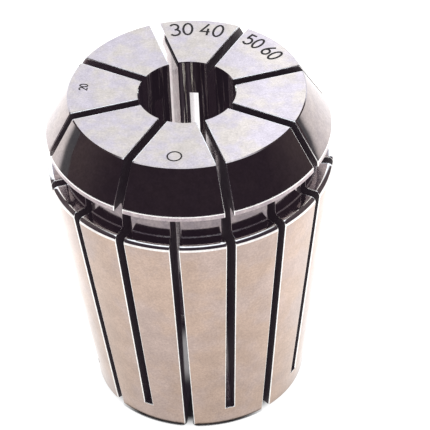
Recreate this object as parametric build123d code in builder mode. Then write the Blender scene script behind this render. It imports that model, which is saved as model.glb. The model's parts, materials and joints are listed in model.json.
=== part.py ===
from build123d import *
import math
import os

# A spring collet: one turned sleeve of spring steel, slotted from both ends into spring fingers.
# Millimetres and degrees. The axis is Z, the origin is the centre of the small end face, and +Z
# points to the nose face, where the tool shank goes in.

# Whole sleeve
overall_length = 40.0
bore_diameter = 11.0

# Seat taper, which the holder's cone presses on; its large diameter is at the groove's shoulder
taper_large_diameter = 33.0
taper_half_angle = 8.0

# Head, from the nose face down to the groove; the clamping nut presses on its cone. Its rim lies a
# little inside the taper's large edge.
head_length = 5.5
nose_half_angle = 30.0
rim_width = 0.7
rim_inset = 0.23

# Extraction groove, which the nut's eccentric ring pulls on; its depth is from the taper's large edge
groove_width = 3.6
groove_depth = 1.9

# Slots: each pass of a slitting saw goes through the axis and leaves two slots opposite each other.
# A web is the metal left on the axis beyond the end of the slots.
passes_per_end = 4
slot_width = 1.0
saw_diameter = 125.0
nose_web = 4.2
tail_web = 1.3

# Corners: the taper's large end is rounded, the grooving tool leaves a bevel in each corner of its
# groove, and every other edge is broken at 45 degrees
shoulder_edge_radius = 0.6
groove_corner_bevel = 0.12
edge_break = 0.1

# How far the saw runs clear of the metal
saw_overrun = 2.0

# Radii and heights that follow
bore_radius = bore_diameter / 2
taper_large_radius = taper_large_diameter / 2
groove_radius = taper_large_radius - groove_depth
rim_radius = taper_large_radius - rim_inset
saw_radius = saw_diameter / 2

head_base = overall_length - head_length
shoulder_height = head_base - groove_width
rim_top = head_base + rim_width
nose_face_radius = rim_radius - (overall_length - rim_top) * math.tan(math.radians(nose_half_angle))
tail_radius = taper_large_radius - shoulder_height * math.tan(math.radians(taper_half_angle))

# Corners of the half section, as radius and height
bore_tail = (bore_radius, 0)
taper_tail = (tail_radius, 0)
shoulder_edge = (taper_large_radius, shoulder_height)
groove_tail = (groove_radius, shoulder_height)
groove_nose = (groove_radius, head_base)
rim_tail = (rim_radius, head_base)
rim_nose = (rim_radius, rim_top)
cone_nose = (nose_face_radius, overall_length)
bore_nose = (bore_radius, overall_length)

turned_corners = [
    bore_tail, taper_tail, shoulder_edge, groove_tail, groove_nose, rim_tail, rim_nose, cone_nose, bore_nose
]
bevels = {
    bore_tail: edge_break,
    taper_tail: edge_break,
    groove_tail: groove_corner_bevel,
    groove_nose: groove_corner_bevel,
    rim_tail: edge_break,
    rim_nose: edge_break,
    cone_nose: edge_break,
    bore_nose: edge_break,
}

# Saw passes: angle about the axis, height of the slot's root on the axis, height of its open mouth.
# The slots from one end lie midway between those from the other.
pass_angle = 180 / passes_per_end
tail_root = overall_length - nose_web
nose_root = tail_web
tail_passes = [(turn * pass_angle, tail_root, -saw_overrun) for turn in range(passes_per_end)]
nose_passes = [
    ((turn + 0.5) * pass_angle, nose_root, overall_length + saw_overrun)
    for turn in range(passes_per_end)
]

# The root follows the saw's rim, so at the side of the cut it has risen towards the mouth
cut_reach = max(taper_large_radius, rim_radius) + saw_overrun
root_rise = saw_radius - math.sqrt(saw_radius**2 - cut_reach**2)

with BuildPart() as collet:
    with BuildSketch(Plane.XZ) as section:
        with BuildLine():
            Polyline(*turned_corners, close=True)
        make_face()
        fillet(section.vertices().sort_by_distance(shoulder_edge)[0], radius=shoulder_edge_radius)
        for corner, width in bevels.items():
            chamfer(section.vertices().sort_by_distance(corner)[0], length=width)
    revolve(axis=Axis.Z)

    for angle, root, mouth in tail_passes + nose_passes:
        side_root = root + math.copysign(root_rise, mouth - root)
        with BuildSketch(Plane.XZ.rotated((0, 0, angle))):
            with BuildLine():
                ThreePointArc((-cut_reach, side_root), (0, root), (cut_reach, side_root))
                Polyline(
                    (cut_reach, side_root),
                    (cut_reach, mouth),
                    (-cut_reach, mouth),
                    (-cut_reach, side_root),
                )
            make_face()
        extrude(amount=slot_width / 2, both=True, mode=Mode.SUBTRACT)

collet.part.label = "collet"

os.makedirs("parts", exist_ok=True)
export_step(collet.part, "parts/collet.step")
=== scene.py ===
import json
import math
from dataclasses import dataclass, replace

import bmesh
import bpy
from mathutils import Matrix, Quaternion, Vector


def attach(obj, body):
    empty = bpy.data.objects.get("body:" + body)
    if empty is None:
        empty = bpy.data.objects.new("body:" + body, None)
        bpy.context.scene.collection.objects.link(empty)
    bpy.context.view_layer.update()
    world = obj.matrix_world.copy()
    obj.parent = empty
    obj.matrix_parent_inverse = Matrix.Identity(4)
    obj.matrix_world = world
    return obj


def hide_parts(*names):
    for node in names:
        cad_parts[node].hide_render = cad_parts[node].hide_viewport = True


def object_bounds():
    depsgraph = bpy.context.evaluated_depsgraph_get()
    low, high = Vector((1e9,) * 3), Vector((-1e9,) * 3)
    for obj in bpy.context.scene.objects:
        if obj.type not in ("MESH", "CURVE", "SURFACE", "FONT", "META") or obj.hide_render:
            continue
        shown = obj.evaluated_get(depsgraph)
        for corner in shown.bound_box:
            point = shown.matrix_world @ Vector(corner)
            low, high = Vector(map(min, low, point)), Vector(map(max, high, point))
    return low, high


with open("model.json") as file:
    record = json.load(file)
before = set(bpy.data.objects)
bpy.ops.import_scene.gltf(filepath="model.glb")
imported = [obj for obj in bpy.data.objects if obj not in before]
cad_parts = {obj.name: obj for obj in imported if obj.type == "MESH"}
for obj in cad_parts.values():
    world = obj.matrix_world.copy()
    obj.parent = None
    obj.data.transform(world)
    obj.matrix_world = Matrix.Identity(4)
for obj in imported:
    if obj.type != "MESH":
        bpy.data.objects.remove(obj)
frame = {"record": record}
cad_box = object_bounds()
sleeve_top = cad_box[1][2]

# Camera: its distance and angles about the middle of the sleeve's height, and the point it aims at
camera_distance = 0.4094
camera_azimuth = math.radians(8.285)
camera_elevation = math.radians(40.17)
camera_roll = math.radians(-2.78)
aim_right = 0.00249
aim_height = 0.02173
focal_length = 294.9
sensor_width = 36.0
nearest_seen = 0.01

# Sleeve, in metres: its turned outline
bore_radius = frame["record"]["mounts"][0]["dims"]["r_mm"] / 1000
taper_large_radius = 0.0165
taper_half_angle = math.radians(8)
head_length = 0.0055
nose_half_angle = math.radians(30)
rim_width = 0.0007
rim_inset = 0.00023
groove_width = 0.0036
groove_depth = 0.0019
shoulder_edge_radius = 0.0006
groove_corner_bevel = 0.00012
edge_break = 0.0001

# and its slots: their roots are arcs of the saw, and the webs are what they leave on the axis
slots_per_end = 8
slot_half_width = 0.0005
saw_radius = 0.0625
nose_web = 0.0042
tail_web = 0.0013
slot_edge_radius = 0.00011

# How finely the sleeve is divided
arc_steps = 8
root_steps = 10
finger_columns = 12
slot_columns = 2
edge_steps = 4
edge_profile = 0.5
longest_row = 0.004
halvings = 40
same_place = 1e-8
weld_reach = 1e-6
crease_angle = math.radians(60)
shading_angle = math.radians(25)

# Shares of a face's normal along a direction, which tell the sleeve's surfaces apart
slight_share = 0.3
half_share = 0.5
most_share = 0.9
whole_share = 0.99
same_share = 0.001

# Floor: a white table that glows, with its light at the front, at the sides and far from the sleeve.
# Here and below, each fade is a pair of numbers: where it starts and where it is full
floor_reach = 1.6
floor_grey = 0.25
floor_front_light = 1.2
floor_side_light = 1.55
floor_far_light = 1.15
floor_light_azimuth = math.radians(-14)
floor_side_fade = (0.016, -0.006)
floor_far_fade = (0.05, 0.3)

# and what is left of that light at its edges, round the sleeve's foot, under the bore and at the contact line
floor_left_fade = (-0.5, -0.28)
floor_right_fade = (0.25, 0.75)
foot_light = 0.84
foot_fade = (0.012, 0.03)
bore_light = 0.32
bore_core = 0.4
bore_fade = (bore_core * bore_radius, bore_radius)
shade_fade = (0.0106, 0.0128)
contact_reach = 0.0006
contact_samples = 16
contact_fade = (0.60, 0.72)
contact_front_fade = (0.0082, 0.0108)

# Studio: bright above and behind the sleeve, dark in front of it and a little less so at its sides
studio_dark = (0.052, 0.039, 0.054)
studio_side = (0.11, 0.088, 0.098)
studio_bright = (1.55, 1.68, 1.85)
side_fade = (0.5, -0.2)
above_fade = (math.sin(math.radians(55)), math.sin(math.radians(70)))
behind_fade = (-0.62, -0.72)

# Bare steel: its patches, its blotches, its fine grain and how far across the face its painted light rises
patch_detail = 3
blotches_per_patch = 2.3
blotch_depth = 0.07
grain_size = 0.00025
grain_detail = 2
grain_depth = 0.1
noise_roughness = 0.6
noise_range = (0.3, 0.7)
roughness_drift = 0.15
lift_fade = (0, 0.011)

# Slot walls carry painted shade near the sleeve's outside and just under the nose face, save opposite this
# azimuth
mouth_azimuth = math.radians(48)
mouth_radius_fade = (0.0100, 0.0115)
mouth_side_fade = (-0.0085, -0.0055)
mouth_top_fade = (0.0381, 0.0391)
mouth_top_side_fade = (-0.0045, -0.0033)

# One wall behind has painted shade under its top edge, out to a radius, and a painted highlight on its outer
# part
shaded_wall_azimuth = math.radians(112.5)
top_shade_height_fade = (0.0391, 0.0394)
top_shade_radius_fade = (0.0114, 0.0106)
bright_rim_fade = (0.0082, 0.0090)

# Figures on the nose face: widths as shares of their height, and how far their ribbons stand out and reach in
glyph_width = 0.5
glyph_pitch = 0.64
space_pitch = 0.26
mark_steps = 16
mark_height = 0.00001
mark_root = 0.00002
layer_share = 0.2
mitre_limit = 0.6
mark_brown = (0.012, 0.006, 0.005)
mark_worn = (0.05, 0.03, 0.025)
mark_roughness = 0.7
wear_fade = (0.4, 0.7)
wear_noise_roughness = 0.5

# Plain figures, as on a dial: text, azimuth of its middle, radius of its foot, height and stroke
marks = [
    ("30 40", 180.8, 0.0107, 0.0021, 0.00026),
    ("50 60", 138.5, 0.0109, 0.0018, 0.00026),
    ("20", 269, 0.01135, 0.0009, 0.00016),
    ("o", -0.5, 0.0107, 0.0032, 0.00018),
]

# Heights and radii that follow
head_base = sleeve_top - head_length
shoulder_height = head_base - groove_width
rim_top = head_base + rim_width
groove_radius = taper_large_radius - groove_depth
rim_radius = taper_large_radius - rim_inset
nose_face_radius = rim_radius - (sleeve_top - rim_top) * math.tan(nose_half_angle)
tail_radius = taper_large_radius - shoulder_height * math.tan(taper_half_angle)
half_pitch = math.pi / slots_per_end

# Where a Mix node of numbers or of colours keeps the first of its two ends, and its result
mix_sockets = {"FLOAT": (2, 0), "RGBA": (6, 2)}


@dataclass
class Look:
    """One finish of the steel: two tints that it drifts between in patches, and what sets it apart."""

    cool: tuple
    warm: tuple
    roughness: float
    patch: float  # size of a patch, in metres
    stretch: tuple = (1, 1, 1)  # how dense the noise is along each axis
    contrast_fade: tuple = (0.35, 0.65)  # the noise over which the tint turns from cool to warm
    lift: float = 0  # how much brighter it is painted towards +X, as painted light
    metallic: float = 1
    edge_tint: float = 1  # how much it mirrors at a grazing angle
    painted_glow: tuple = (0, 0, 0)  # a faint glow, as deep shade has in a photograph
    mouth: float = 1  # what is left of its brightness in the painted shade near a slot's mouth
    mouth_roughness: float = 0  # its roughness there and in the painted shade under a wall's top edge, where it differs
    top_shade: float = 1  # what is left of its brightness in the painted shade under a wall's top edge
    rim_highlight: float = 1  # how many times as bright its outer part is painted, as a painted highlight


# The finish of each kind of surface on the sleeve; edge is for its edges and carries a painted highlight, and
# sawn for the walls of its slots
# A faint painted glow for the slot walls and the groove, which lifts their deep shade
slot_glow = (0.010, 0.0065, 0.010)
finishes = {
    "face": Look(
        cool=(0.447, 0.388, 0.404), warm=(0.503, 0.436, 0.385), roughness=0.2, patch=0.0028,
        contrast_fade=(0.37, 0.64), lift=0.27,
    ),
    "cone": Look(cool=(0.42, 0.365, 0.365), warm=(0.45, 0.39, 0.375), roughness=0.05, patch=0.002),
    "rim": Look(cool=(0.36, 0.30, 0.32), warm=(0.46, 0.39, 0.39), roughness=0.12, patch=0.001),
    # Dark: painted shade in the groove, also used on the shaded side of the slots' rounds on the nose cone
    "groove": Look(
        cool=(0.20, 0.17, 0.18), warm=(0.26, 0.22, 0.22), roughness=0.1, patch=0.001, painted_glow=slot_glow,
    ),
    # Bright: a painted highlight on the shoulder's round above the taper
    "shoulder": Look(cool=(0.74, 0.70, 0.68), warm=(0.80, 0.77, 0.74), roughness=0.03, patch=0.002),
    "taper": Look(
        cool=(0.439, 0.340, 0.299), warm=(0.449, 0.335, 0.272), roughness=0.14, patch=0.006,
        contrast_fade=(0.4, 0.6),
    ),
    "turned": Look(cool=(0.42, 0.36, 0.35), warm=(0.50, 0.44, 0.41), roughness=0.1, patch=0.003),
    # Slot walls, with painted shade near their mouths and a painted glow
    "sawn": Look(
        cool=(0.38, 0.33, 0.33), warm=(0.45, 0.41, 0.40), roughness=0.09, patch=0.001,
        metallic=0.9, edge_tint=0.9, painted_glow=slot_glow, mouth=0.3, mouth_roughness=0.55,
    ),
    # Near black with narrow light streaks along the axis: painted shade with painted reflections
    "bore": Look(
        cool=(0.04, 0.03, 0.036), warm=(1.0, 0.94, 0.82), roughness=0.15, patch=0.0005,
        stretch=(1, 1, 0.03), contrast_fade=(0.54, 0.60), metallic=0.9, painted_glow=(0.012, 0.008, 0.012),
    ),
    # Near white: a painted highlight along the rounded and bevelled edges
    "edge": Look(cool=(0.93, 0.90, 0.88), warm=(0.96, 0.94, 0.90), roughness=0.25, patch=0.002),
}
# The wall behind: painted shade under its top edge and a painted highlight on its outer part
finishes["shaded_wall"] = replace(finishes["sawn"], top_shade=0.03, rim_highlight=2.4)


class Nodes:
    """A node tree, with short ways to add nodes and join their sockets."""

    def __init__(self, tree):
        self.tree = tree

    def set(self, socket, value):
        if isinstance(value, bpy.types.NodeSocket):
            self.tree.links.new(value, socket)
        else:
            socket.default_value = value

    def add(self, kind, settings=(), **sockets):
        node = self.tree.nodes.new(kind)
        for name, value in dict(settings).items():
            setattr(node, name, value)
        for name, value in sockets.items():
            self.set(node.inputs[name.replace("_", " ")], value)
        return node

    def calculate(self, kind, operation, *values):
        """A node that works out a number or a vector from its first inputs."""
        node = self.add(kind, {"operation": operation})
        for socket, value in zip(node.inputs, values):
            self.set(socket, value)
        return node

    def product(self, *factors):
        total = factors[0]
        for factor in factors[1:]:
            total = self.calculate("ShaderNodeMath", "MULTIPLY", total, factor).outputs["Value"]
        return total

    def greater(self, first, second):
        return self.calculate("ShaderNodeMath", "MAXIMUM", first, second).outputs["Value"]

    def faded(self, value, start, full):
        """How far a value has gone from where a fade starts to where it is full, as a share."""
        settings = {"interpolation_type": "SMOOTHSTEP"}
        node = self.add("ShaderNodeMapRange", settings, Value=value, From_Min=start, From_Max=full)
        return node.outputs["Result"]

    def mix(self, kind, share, start, end):
        node = self.add("ShaderNodeMix", {"data_type": kind}, Factor=share)
        first_end, result = mix_sockets[kind]
        self.set(node.inputs[first_end], start)
        self.set(node.inputs[first_end + 1], end)
        return node.outputs[result]

    def blend(self, share, start, end):
        return self.mix("FLOAT", share, start, end)

    def blend_colours(self, share, start, end):
        return self.mix("RGBA", share, start, end)

    def noise(self, place, scale, detail, roughness=noise_roughness):
        settings = dict(Vector=place, Scale=scale, Detail=detail, Roughness=roughness)
        return self.add("ShaderNodeTexNoise", **settings).outputs["Fac"]

    def object_place(self):
        return self.add("ShaderNodeTexCoord").outputs["Object"]

    def along(self, place, axis):
        return self.add("ShaderNodeSeparateXYZ", Vector=place).outputs[axis]

    def ahead(self, place, azimuth=camera_azimuth):
        """How far a place lies towards an azimuth, which is the camera's unless another is given."""
        towards = (math.sin(azimuth), -math.cos(azimuth), 0)
        return self.calculate("ShaderNodeVectorMath", "DOT_PRODUCT", place, towards).outputs["Value"]

    def from_axis(self, place):
        """How far a place lies from the sleeve's axis."""
        flat = self.calculate("ShaderNodeVectorMath", "MULTIPLY", place, (1, 1, 0)).outputs["Vector"]
        return self.calculate("ShaderNodeVectorMath", "LENGTH", flat).outputs["Value"]


def new_material(name):
    """A material, its nodes and its shader."""
    material = bpy.data.materials.new(name)
    material.use_nodes = True
    return material, Nodes(material.node_tree), material.node_tree.nodes["Principled BSDF"]


def add_object(name, data):
    added = bpy.data.objects.new(name, data)
    bpy.context.scene.collection.objects.link(added)
    return added


def add_camera():
    data = bpy.data.cameras.new("camera")
    data.lens = focal_length
    data.sensor_width = sensor_width
    data.clip_start = nearest_seen
    camera = add_object("camera", data)
    back = Vector((
        math.sin(camera_azimuth) * math.cos(camera_elevation),
        -math.cos(camera_azimuth) * math.cos(camera_elevation),
        math.sin(camera_elevation),
    ))
    camera.location = Vector((0, 0, sleeve_top / 2)) + camera_distance * back
    aim = Vector((aim_right * math.cos(camera_azimuth), aim_right * math.sin(camera_azimuth), aim_height))
    turn = (aim - camera.location).to_track_quat("-Z", "Y")
    camera.rotation_mode = "QUATERNION"
    camera.rotation_quaternion = turn @ Quaternion((0, 0, 1), camera_roll)
    bpy.context.scene.camera = camera


def add_world():
    """The studio's light, by direction."""
    world = bpy.data.worlds.new("studio")
    world.use_nodes = True
    nodes = Nodes(world.node_tree)
    place = nodes.add("ShaderNodeTexCoord").outputs["Generated"]
    ahead = nodes.ahead(place)
    above = nodes.faded(nodes.along(place, "Z"), *above_fade)
    behind = nodes.faded(ahead, *behind_fade)
    dark = nodes.blend_colours(nodes.faded(ahead, *side_fade), (*studio_dark, 1), (*studio_side, 1))
    colour = nodes.blend_colours(nodes.greater(above, behind), dark, (*studio_bright, 1))
    nodes.set(world.node_tree.nodes["Background"].inputs["Color"], colour)
    bpy.context.scene.world = world


def contact_light(nodes, place):
    """What is left of the floor's light along the line where the sleeve's front stands on it."""
    openness = nodes.add("ShaderNodeAmbientOcclusion", {"samples": contact_samples}, Distance=contact_reach)
    lit = nodes.faded(openness.outputs["AO"], *contact_fade)
    in_front = nodes.faded(nodes.ahead(place, 0), *contact_front_fade)
    return nodes.blend(in_front, 1.0, lit)


def floor_light(nodes, place):
    """How brightly the floor glows at a place: not at all under the sleeve, but a little in the bore."""
    distance = nodes.from_axis(place)
    side = nodes.faded(nodes.ahead(place, floor_light_azimuth), *floor_side_fade)
    near = nodes.blend(side, floor_front_light, floor_side_light)
    light = nodes.blend(nodes.faded(distance, *floor_far_fade), near, floor_far_light)
    foot = nodes.blend(nodes.faded(distance, *foot_fade), foot_light, 1.0)
    bore = nodes.blend(nodes.faded(distance, *bore_fade), bore_light, 0.0)
    under = nodes.blend(nodes.faded(distance, *shade_fade), bore, 1.0)
    across = nodes.along(place, "X")
    left = nodes.faded(across, *floor_left_fade)
    right = nodes.blend(nodes.faded(across, *floor_right_fade), 1.0, 0.0)
    return nodes.product(light, foot, under, contact_light(nodes, place), left, right)


def add_floor():
    mesh = bpy.data.meshes.new("floor")
    corners = [
        (-floor_reach, -floor_reach, 0),
        (floor_reach, -floor_reach, 0),
        (floor_reach, floor_reach, 0),
        (-floor_reach, floor_reach, 0),
    ]
    mesh.from_pydata(corners, [], [(0, 1, 2, 3)])
    floor = add_object("floor", mesh)
    material, nodes, shader = new_material("floor_white")
    shader.inputs["Base Color"].default_value = (floor_grey, floor_grey, floor_grey, 1)
    shader.inputs["Roughness"].default_value = 1
    shader.inputs["Specular IOR Level"].default_value = 0
    shader.inputs["Emission Color"].default_value = (1, 1, 1, 1)
    nodes.set(shader.inputs["Emission Strength"], floor_light(nodes, nodes.object_place()))
    mesh.materials.append(material)


def bevelled(corner, before, after, width):
    """The two points that cut a corner off."""
    return [corner + (before - corner).normalized() * width, corner + (after - corner).normalized() * width]


def rounded(corner, before, after, radius):
    """Points along the arc that rounds a corner."""
    to_before = (before - corner).normalized()
    to_after = (after - corner).normalized()
    half_angle = to_before.angle(to_after) / 2
    centre = corner + (to_before + to_after).normalized() * radius / math.sin(half_angle)
    start = corner + to_before * radius / math.tan(half_angle) - centre
    end = corner + to_after * radius / math.tan(half_angle) - centre
    return [centre + start.lerp(end, step / arc_steps).normalized() * radius for step in range(arc_steps + 1)]


def turned_outline():
    """The sleeve's half section as points of radius and height, from the bore round the small end."""
    corners = [
        (Vector((bore_radius, 0)), bevelled, edge_break),
        (Vector((tail_radius, 0)), bevelled, edge_break),
        (Vector((taper_large_radius, shoulder_height)), rounded, shoulder_edge_radius),
        (Vector((groove_radius, shoulder_height)), bevelled, groove_corner_bevel),
        (Vector((groove_radius, head_base)), bevelled, groove_corner_bevel),
        (Vector((rim_radius, head_base)), bevelled, edge_break),
        (Vector((rim_radius, rim_top)), bevelled, edge_break),
        (Vector((nose_face_radius, sleeve_top)), bevelled, edge_break),
        (Vector((bore_radius, sleeve_top)), bevelled, edge_break),
    ]
    outline = []
    for index, (corner, shape, size) in enumerate(corners):
        before = corners[index - 1][0]
        after = corners[(index + 1) % len(corners)][0]
        outline += shape(corner, before, after, size)
    return outline


def root_rise(radius):
    """How much shallower a slot is at a radius than on the axis."""
    return saw_radius - math.sqrt(saw_radius**2 - radius**2)


def tail_slot_depth(point):
    """How far a point of the section lies inside the slots that open at the small end."""
    return sleeve_top - nose_web - root_rise(point.x) - point.y


def nose_slot_depth(point):
    """How far a point of the section lies inside the slots that open at the nose."""
    return point.y - tail_web - root_rise(point.x)


def root_crossing(start, end, depth):
    """The point between start and end that lies on a slot's root."""
    for step in range(halvings):
        middle = (start + end) / 2
        if (depth(middle) > 0) == (depth(start) > 0):
            start = middle
        else:
            end = middle
    return middle


def with_crossings(outline, depth):
    """The outline with a point added wherever a slot's root meets it."""
    crossed = []
    for start, end in zip(outline, outline[1:] + outline[:1]):
        crossed.append(start)
        if (depth(start) > 0) != (depth(end) > 0):
            crossed.append(root_crossing(start, end, depth))
    return crossed


def with_rows(outline):
    """The outline with its long straight stretches divided."""
    divided = []
    for start, end in zip(outline, outline[1:] + outline[:1]):
        parts = math.ceil((end - start).length / longest_row)
        divided += [start.lerp(end, part / parts) for part in range(parts)]
    return divided


def run_of(outline, belongs):
    """The unbroken run of the closed outline's points that belong."""
    count = len(outline)
    first = next(i for i in range(count) if belongs(outline[i]) and not belongs(outline[i - 1]))
    run = []
    while belongs(outline[(first + len(run)) % count]):
        run.append(outline[(first + len(run)) % count])
    return run


def root_between(start, end, depth):
    """Points along a slot's root, without its two ends."""
    points = []
    for step in range(1, root_steps):
        radius = start.x + (end.x - start.x) * step / root_steps
        above = Vector((radius, sleeve_top))
        below = Vector((radius, 0))
        points.append(root_crossing(below, above, depth))
    return points


def spot(point, azimuth):
    """Where a point of the section lies at an azimuth."""
    return (point.x * math.cos(azimuth), point.x * math.sin(azimuth), point.y)


def add_strip(work, loop, azimuth_of, columns):
    """A closed strip of faces that sweeps a loop of section points round the axis."""
    rings = []
    for column in range(columns + 1):
        rings.append([work.verts.new(spot(point, azimuth_of(point, column / columns))) for point in loop])
    for ring, following in zip(rings, rings[1:]):
        for index in range(len(loop)):
            work.faces.new((ring[index - 1], ring[index], following[index], following[index - 1]))


def add_slot_half(work, outline, depth, azimuth_from):
    """One wall of a slot, and half of the metal beyond the slot's root."""
    def from_middle(point, share):
        return azimuth_from(share * slot_half_width, point)

    kept = run_of(outline, lambda point: depth(point) < same_place)
    open_run = run_of(outline, lambda point: depth(point) > -same_place)
    root = root_between(kept[-1], kept[0], depth)
    add_strip(work, kept + root, from_middle, slot_columns)
    wall = open_run + root[::-1]
    work.faces.new([work.verts.new(spot(point, azimuth_from(slot_half_width, point))) for point in wall])


def add_finger_half(work, outline):
    """The metal from the middle of a tail slot to the middle of the nose slot beside it."""
    def from_tail_slot(across, point):
        return math.asin(across / point.x)

    def from_nose_slot(across, point):
        return half_pitch - math.asin(across / point.x)

    def between_slots(point, share):
        start = from_tail_slot(slot_half_width, point)
        return start + (from_nose_slot(slot_half_width, point) - start) * share

    add_strip(work, outline, between_slots, finger_columns)
    add_slot_half(work, outline, tail_slot_depth, from_tail_slot)
    add_slot_half(work, outline, nose_slot_depth, from_nose_slot)


def add_fingers(work):
    """All the metal of the sleeve: one half finger, mirrored and turned round the axis."""
    outline = with_rows(with_crossings(with_crossings(turned_outline(), tail_slot_depth), nose_slot_depth))
    add_finger_half(work, outline)
    half = work.verts[:] + work.edges[:] + work.faces[:]
    bmesh.ops.mirror(work, geom=half, axis="Y", merge_dist=same_place)
    finger = work.verts[:] + work.edges[:] + work.faces[:]
    for turn in range(1, slots_per_end):
        copy = bmesh.ops.duplicate(work, geom=finger)["geom"]
        verts = [item for item in copy if isinstance(item, bmesh.types.BMVert)]
        rotation = Matrix.Rotation(turn * 2 * half_pitch, 3, "Z")
        bmesh.ops.rotate(work, verts=verts, cent=(0, 0, 0), matrix=rotation)
    bmesh.ops.remove_doubles(work, verts=work.verts, dist=weld_reach)
    bmesh.ops.recalc_face_normals(work, faces=work.faces)


def round_slot_edges(work):
    """Rounds the edges that the saw leaves, and marks the rounds with material 1."""
    creases = [edge for edge in work.edges if edge.is_convex and edge.calc_face_angle() > crease_angle]
    bmesh.ops.bevel(
        work, geom=creases, offset=slot_edge_radius, offset_type="OFFSET", segments=edge_steps,
        profile=edge_profile, affect="EDGES", clamp_overlap=False, material=1,
    )


def is_shaded_wall(centre):
    """Whether a place is on the wall with painted shade and a painted highlight, or on the rounds along its
    edges.
    """
    along = centre.x * math.cos(shaded_wall_azimuth) + centre.y * math.sin(shaded_wall_azimuth)
    across = centre.x * math.sin(shaded_wall_azimuth) - centre.y * math.cos(shaded_wall_azimuth)
    beside = along > 0 and 0 < across < slot_half_width + slot_edge_radius
    return beside and centre.z > tail_web + slot_edge_radius


def edge_finish_of(face):
    """The finish of a face that rounds off a slot's edge."""
    centre = face.calc_center_median()
    if centre.z > sleeve_top - slot_edge_radius and is_shaded_wall(centre):
        return "shaded_wall"
    if rim_top < centre.z < sleeve_top - edge_break:
        # On the nose cone, rounds that face +X get the edge finish's painted highlight, the others the
        # groove's painted shade
        return "edge" if centre.x > 0 and face.normal.x > 0 else "groove"
    return "groove" if shoulder_height < centre.z < head_base else "edge"


def finish_of(face):
    """The finish that any other face of the sleeve has."""
    centre = face.calc_center_median()
    radius = math.hypot(centre.x, centre.y)
    outward = face.normal.dot(Vector((centre.x, centre.y, 0)).normalized())
    upward = face.normal.z
    if outward < -half_share:
        return "bore"
    if abs(outward) < slight_share and abs(upward) < slight_share:
        return "shaded_wall" if is_shaded_wall(centre) else "sawn"
    if centre.z > sleeve_top - edge_break:
        return "face" if upward > most_share else "cone"
    if centre.z > rim_top + edge_break:
        return "cone" if outward > half_share else "sawn"
    if centre.z > head_base + edge_break and outward > whole_share:
        return "rim"
    if centre.z > head_base and radius > groove_radius:
        return "edge"
    if centre.z > shoulder_height - same_place and radius < rim_radius - edge_break:
        leans_both_ways = upward > slight_share and outward > slight_share
        return "edge" if leans_both_ways and radius < groove_radius + groove_corner_bevel else "groove"
    if abs(outward - math.cos(taper_half_angle)) < same_share:
        return "taper"
    if centre.z > sleeve_top / 2:
        return "shoulder"
    return "turned" if centre.z < tail_web / 2 else "sawn"


def grain_value(nodes, place):
    """How much brighter or darker the fine grain makes the steel."""
    grain = nodes.noise(place, 1 / grain_size, grain_detail)
    low, high = noise_range
    depths = dict(From_Min=low, From_Max=high, To_Min=1 - grain_depth, To_Max=1 + grain_depth)
    return nodes.add("ShaderNodeMapRange", Value=grain, **depths).outputs["Result"]


def in_mouth(nodes, place):
    """How far a place of a slot's wall is in the painted shade near its mouth."""
    side = nodes.ahead(place, mouth_azimuth)
    outside = nodes.faded(nodes.from_axis(place), *mouth_radius_fade)
    outside = nodes.product(outside, nodes.faded(side, *mouth_side_fade))
    top = nodes.faded(nodes.along(place, "Z"), *mouth_top_fade)
    top = nodes.product(top, nodes.faded(side, *mouth_top_side_fade))
    return nodes.greater(outside, top)


def in_top_shade(nodes, place):
    """How far a place of that wall is in the painted shade under its top edge."""
    top = nodes.faded(nodes.along(place, "Z"), *top_shade_height_fade)
    return nodes.product(top, nodes.faded(nodes.from_axis(place), *top_shade_radius_fade))


def steel_value(nodes, place, stretched, look):
    """How much brighter or darker than its tint the steel is, with its painted light and shade."""
    blotch = nodes.faded(nodes.noise(stretched, blotches_per_patch / look.patch, patch_detail), *noise_range)
    # Painted light: brighter towards +X, where a look has it
    towards_x = nodes.faded(nodes.along(place, "X"), *lift_fade)
    rim = nodes.faded(nodes.from_axis(place), *bright_rim_fade)
    return nodes.product(
        grain_value(nodes, stretched),
        nodes.blend(towards_x, 1.0, 1.0 + look.lift),
        nodes.blend(blotch, 1 - blotch_depth, 1 + blotch_depth),
        # Painted shade near a slot's mouth and under the nose face
        nodes.blend(in_mouth(nodes, place), 1.0, look.mouth),
        # Painted shade under a wall's top edge, and a painted highlight on its outer part
        nodes.blend(in_top_shade(nodes, place), 1.0, look.top_shade),
        nodes.blend(rim, 1.0, look.rim_highlight),
    )


def steel_roughness(nodes, place, drift, look):
    """The steel's roughness: it drifts with the tint, and may differ near a slot's mouth and in the painted
    shade under a wall's top edge.
    """
    spread = look.roughness * roughness_drift
    roughness = nodes.blend(drift, look.roughness - spread, look.roughness + spread)
    if not look.mouth_roughness:
        return roughness
    dull = in_mouth(nodes, place)
    if look.top_shade < 1:
        dull = nodes.greater(dull, in_top_shade(nodes, place))
    return nodes.blend(dull, roughness, look.mouth_roughness)


def steel(name, look):
    """Bare steel: its tint drifts from cool to warm in patches, under blotches and a fine grain, with the
    painted light, shade and glow that its look has.
    """
    material, nodes, shader = new_material(name)
    place = nodes.object_place()
    stretched = nodes.add("ShaderNodeMapping", Vector=place, Scale=look.stretch).outputs["Vector"]
    drift = nodes.faded(nodes.noise(stretched, 1 / look.patch, patch_detail), *look.contrast_fade)
    tint = nodes.blend_colours(drift, (*look.cool, 1), (*look.warm, 1))
    value = steel_value(nodes, place, stretched, look)
    tinted = nodes.add("ShaderNodeHueSaturation", Value=value, Color=tint)
    nodes.set(shader.inputs["Base Color"], tinted.outputs["Color"])
    nodes.set(shader.inputs["Roughness"], steel_roughness(nodes, place, drift, look))
    shader.inputs["Metallic"].default_value = look.metallic
    # A faint painted glow, where a look has one
    shader.inputs["Emission Color"].default_value = (*look.painted_glow, 1)
    shader.inputs["Emission Strength"].default_value = 1
    shader.inputs["Specular Tint"].default_value = (look.edge_tint, look.edge_tint, look.edge_tint, 1)
    return material


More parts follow.
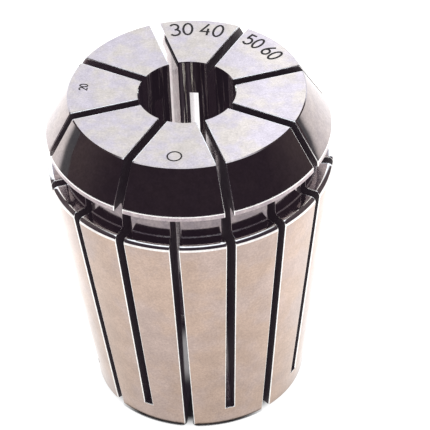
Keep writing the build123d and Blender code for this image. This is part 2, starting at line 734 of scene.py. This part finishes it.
def add_sleeve():
    work = bmesh.new()
    add_fingers(work)
    round_slot_edges(work)
    names = list(finishes)
    for face in work.faces:
        finish = edge_finish_of(face) if face.material_index else finish_of(face)
        face.material_index = names.index(finish)
    mesh = bpy.data.meshes.new("sleeve")
    work.to_mesh(mesh)
    work.free()
    mesh.shade_smooth()
    mesh.set_sharp_from_angle(angle=shading_angle)
    for name, look in finishes.items():
        mesh.materials.append(steel("steel_" + name, look))
    sleeve = add_object("sleeve", mesh)
    shading = sleeve.modifiers.new("shading", "WEIGHTED_NORMAL")
    shading.keep_sharp = True
    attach(sleeve, "root")
    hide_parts("collet")


def arc(centre, radii, start, end):
    """Points on an ellipse, from one angle to another in degrees."""
    across, up = centre
    half_width, half_height = radii
    angles = [math.radians(start + (end - start) * step / mark_steps) for step in range(mark_steps + 1)]
    return [(across + half_width * math.cos(angle), up + half_height * math.sin(angle)) for angle in angles]


# Each figure's strokes, in a box one high; all figures are as wide as glyph_width
glyphs = {
    "0": [arc((0.25, 0.5), (0.25, 0.5), 0, 360)],
    "2": [arc((0.25, 0.73), (0.24, 0.27), 165, -38) + [(0.0, 0.0), (0.5, 0.0)]],
    "3": [arc((0.23, 0.75), (0.23, 0.25), 150, -90), arc((0.23, 0.26), (0.26, 0.26), 90, -150)],
    "4": [[(0.36, 1.0), (0.0, 0.32), (0.5, 0.32)], [(0.38, 0.6), (0.38, 0.0)]],
    "5": [[(0.46, 1.0), (0.08, 1.0), (0.06, 0.58)] + arc((0.24, 0.32), (0.26, 0.32), 130, -150)],
    "6": [[(0.40, 1.0), (0.16, 0.70), (0.03, 0.42)] + arc((0.25, 0.28), (0.24, 0.28), 165, 500)],
    "o": [arc((0.25, 0.25), (0.25, 0.25), 0, 360)],
}


def stroke_sides(points, closed, width):
    """For each point of a line, the way from it to the ribbon's side, with mitres kept short."""
    sides = []
    for index, point in enumerate(points):
        ways = []
        if closed or index > 0:
            ways.append((point - points[index - 1]).normalized())
        if closed or index + 1 < len(points):
            ways.append((points[(index + 1) % len(points)] - point).normalized())
        way = sum(ways, Vector((0, 0))).normalized()
        reach = width / 2 / max(way.dot(ways[0]), mitre_limit)
        sides.append(Vector((-way.y, way.x)) * reach)
    return sides


def add_stroke(work, points, width, top):
    """A flat closed ribbon along a line of points."""
    closed = (points[0] - points[-1]).length < same_place
    if closed:
        points = points[:-1]
    rings = []
    for point, side in zip(points, stroke_sides(points, closed, width)):
        left = point + side
        right = point - side
        corners = [(left, top), (right, top), (right, -mark_root), (left, -mark_root)]
        rings.append([work.verts.new((place.x, place.y, sleeve_top + height)) for place, height in corners])
    pairs = zip(rings, rings[1:] + rings[:1]) if closed else zip(rings, rings[1:])
    for ring, following in pairs:
        for index in range(len(ring)):
            work.faces.new((ring[index - 1], ring[index], following[index], following[index - 1]))
    if not closed:
        work.faces.new(rings[0])
        work.faces.new(rings[-1][::-1])


def add_text(work, text, azimuth, foot_radius, height, width):
    """A text's ribbons, round the nose face. The strokes of one figure differ in height where they cross."""
    pitches = [space_pitch if glyph == " " else glyph_pitch for glyph in text]
    along = -(sum(pitches) - glyph_pitch + glyph_width) / 2
    for glyph, pitch in zip(text, pitches):
        turn = math.radians(azimuth) - (along + glyph_width / 2) * height / foot_radius
        up = Vector((math.sin(turn), -math.cos(turn)))
        right = Vector((-math.cos(turn), -math.sin(turn)))
        for layer, stroke in enumerate(glyphs.get(glyph, [])):
            line = [
                up * (foot_radius + y * height) + right * (x - glyph_width / 2) * height
                for x, y in stroke
            ]
            add_stroke(work, line, width, mark_height * (1 + layer_share * layer))
        along += pitch


def worn_brown():
    """The figures' dark brown, worn a little."""
    material, nodes, shader = new_material("mark_brown")
    wear = nodes.noise(nodes.object_place(), 1 / grain_size, grain_detail, wear_noise_roughness)
    colour = nodes.blend_colours(nodes.faded(wear, *wear_fade), (*mark_brown, 1), (*mark_worn, 1))
    nodes.set(shader.inputs["Base Color"], colour)
    shader.inputs["Roughness"].default_value = mark_roughness
    return material


def add_marks():
    work = bmesh.new()
    for mark in marks:
        add_text(work, *mark)
    bmesh.ops.recalc_face_normals(work, faces=work.faces)
    mesh = bpy.data.meshes.new("marks")
    work.to_mesh(mesh)
    work.free()
    mesh.materials.append(worn_brown())
    figures = add_object("marks", mesh)
    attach(figures, "root")
    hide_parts("collet")


add_camera()
add_world()
add_floor()
add_sleeve()
add_marks()
bpy.context.scene.view_settings.view_transform = "Standard"
